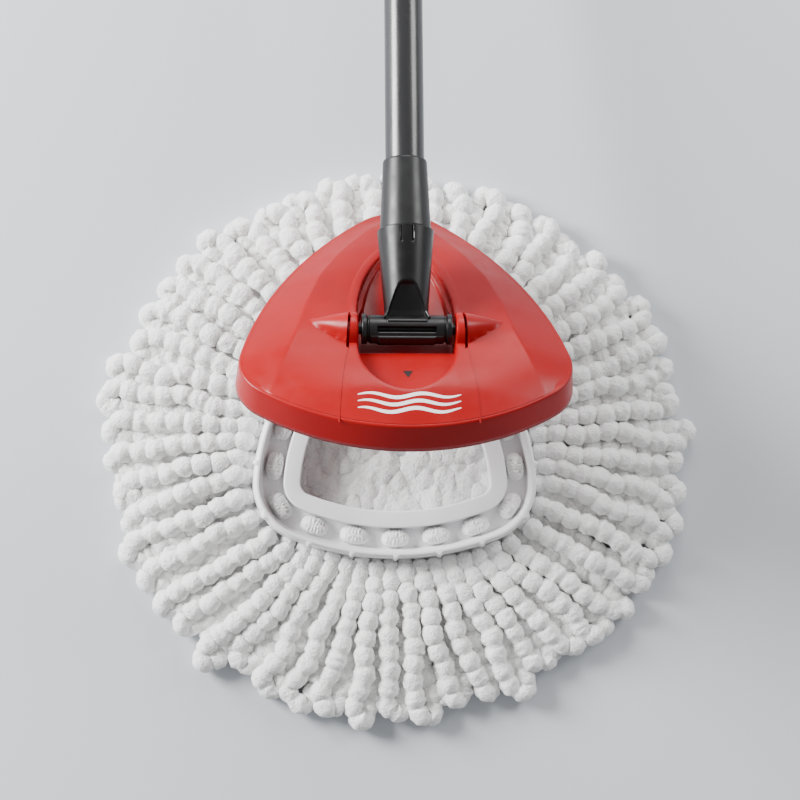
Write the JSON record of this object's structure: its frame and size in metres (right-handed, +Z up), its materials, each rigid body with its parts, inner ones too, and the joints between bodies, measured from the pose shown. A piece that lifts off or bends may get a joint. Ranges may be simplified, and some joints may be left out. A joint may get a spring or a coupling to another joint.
{
  "type": "spin mop",
  "caption": "Spin mop with a rounded triangular refill of yarn strands, a tilting clip-on base and a telescopic handle with a twist lock.",
  "frame": {"origin": "on the floor under the middle of the refill ring", "axes": "+Z up, +Y towards the handle's grip end, +X to the right"},
  "size_m": [0.353, 1.0125, 0.152],
  "materials": {
    "red_plastic": "injection moulded, satin gloss",
    "black_plastic": "injection moulded, satin",
    "dark_grey_plastic": "injection moulded, satin",
    "tube_paint": "powder coated, satin",
    "white_plastic": "injection moulded, satin",
    "yarn": "looped microfibre yarn",
    "grip": "soft touch, fine texture"
  },
  "bodies": {
    "refill": {"refill_ring": "white_plastic", "lock_ring": "white_plastic", "strand_bundle_01": "yarn", "strand_bundle_02": "yarn", "strand_bundle_03": "yarn", "strand_bundle_04": "yarn", "strand_bundle_05": "yarn", "strand_bundle_06": "yarn", "strand_bundle_07": "yarn", "strand_bundle_08": "yarn", "strand_bundle_09": "yarn", "strand_bundle_10": "yarn", "strand_bundle_11": "yarn", "strand_bundle_12": "yarn", "strand_bundle_13": "yarn", "strand_bundle_14": "yarn", "strand_bundle_15": "yarn", "strand_bundle_16": "yarn", "strand_bundle_17": "yarn", "strand_bundle_18": "yarn", "strand_centre": "yarn"},
    "base": {"base_shell": "red_plastic", "hinge_pin": "black_plastic"},
    "lower_handle": {"yoke": "black_plastic", "ferrule": "dark_grey_plastic", "lower_tube": "tube_paint", "lock_collar": "dark_grey_plastic", "collet": "white_plastic"},
    "lock_nut": {"lock_nut": "red_plastic"},
    "upper_handle": {"upper_tube": "tube_paint", "guide_plug": "dark_grey_plastic", "grip_sleeve": "grip", "end_cap": "red_plastic"}
  },
  "joints": [
    {"name": "refill_latch", "type": "hinge", "parent": "refill", "child": "base", "pos_m": [0, 0.12257, -0.01297], "axis": [1, 0, 0], "range_deg": [0, 40]},
    {"name": "head_tilt", "type": "hinge", "parent": "base", "child": "lower_handle", "pos_m": [0, 0.06495, 0.12149], "axis": [1, 0, 0], "range_deg": [0, 115]},
    {"name": "nut_twist", "type": "hinge", "parent": "lower_handle", "child": "lock_nut", "pos_m": [0, 0.64929, 0.03994], "axis": [0, 0.9904, -0.1382], "range_deg": [0, 90]},
    {"name": "handle_extend", "type": "slide", "parent": "lower_handle", "child": "upper_handle", "axis": [0, 0.9904, -0.1382], "range_m": [0, 0.42]}
  ]
}
